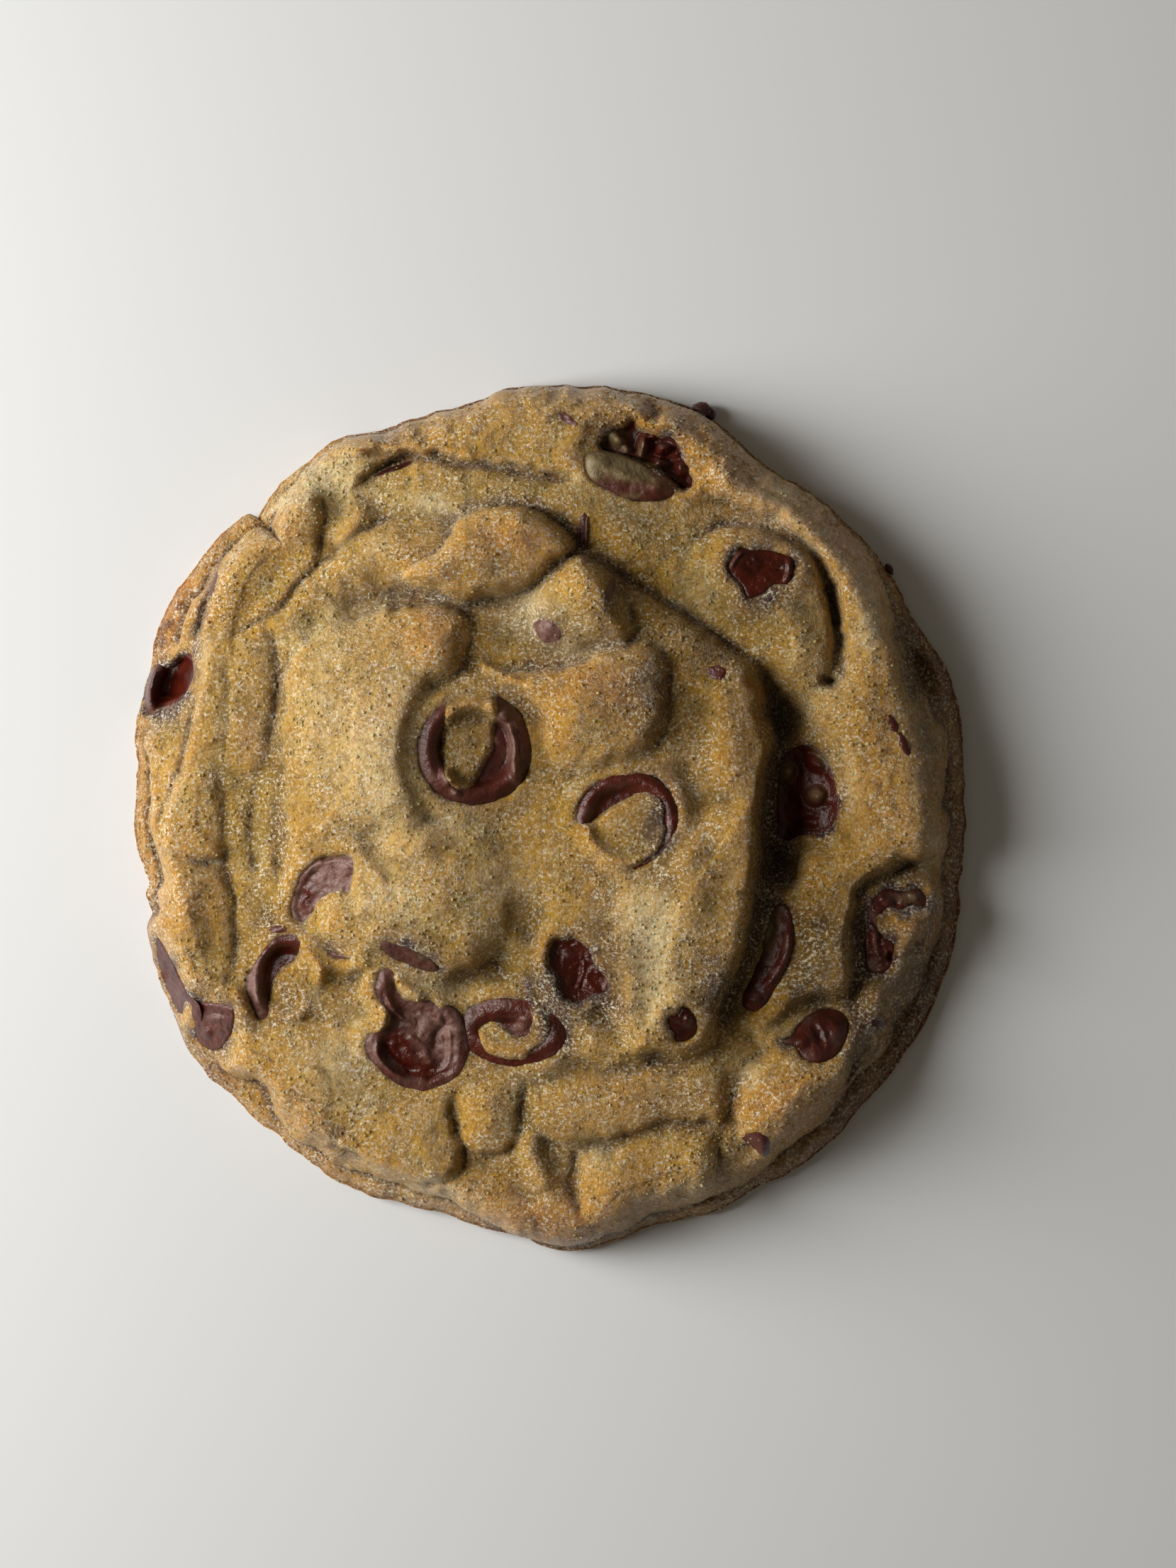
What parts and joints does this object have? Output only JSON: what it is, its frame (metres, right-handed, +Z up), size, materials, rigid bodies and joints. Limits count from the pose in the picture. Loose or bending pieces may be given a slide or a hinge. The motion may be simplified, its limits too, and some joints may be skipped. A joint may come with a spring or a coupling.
{
  "type": "chocolate chip cookie",
  "caption": "Thick round baked cookie with a puffed, folded top, a thin browned edge, and dark chocolate chips sunk in its surface.",
  "frame": {"origin": "middle of the flat underside, at the centre of the outline's box", "axes": "+Z up through the thickness, +Y along the cookie's slightly longer way, +X to its right"},
  "size_m": [0.0956, 0.099, 0.021],
  "materials": {
    "dough": "baked cookie dough: golden tan, fine grained, browned at the edge, softly glossy where butter shows",
    "chocolate": "dark chocolate, melted and set again, satin to glossy"
  },
  "bodies": {
    "root": {"dough": "dough", "chip_ring_northwest": "chocolate", "chip_crescent_east": "chocolate", "chip_half_moon_west": "chocolate", "chip_wrinkled_south": "chocolate", "chip_ring_south": "chocolate", "chip_crescent_west": "chocolate", "chip_dark_middle": "chocolate", "chip_square_northeast": "chocolate", "chip_coated_north": "chocolate", "chip_melted_north": "chocolate", "chip_crevice_east": "chocolate", "chip_long_east": "chocolate", "chip_glossy_southeast": "chocolate", "chip_small_southeast": "chocolate", "chip_edge_east_upper": "chocolate", "chip_edge_east_lower": "chocolate", "chip_edge_west": "chocolate", "chip_edge_southwest_long": "chocolate", "chip_edge_southwest_short": "chocolate", "chip_faded_southwest": "chocolate"}
  },
  "joints": []
}
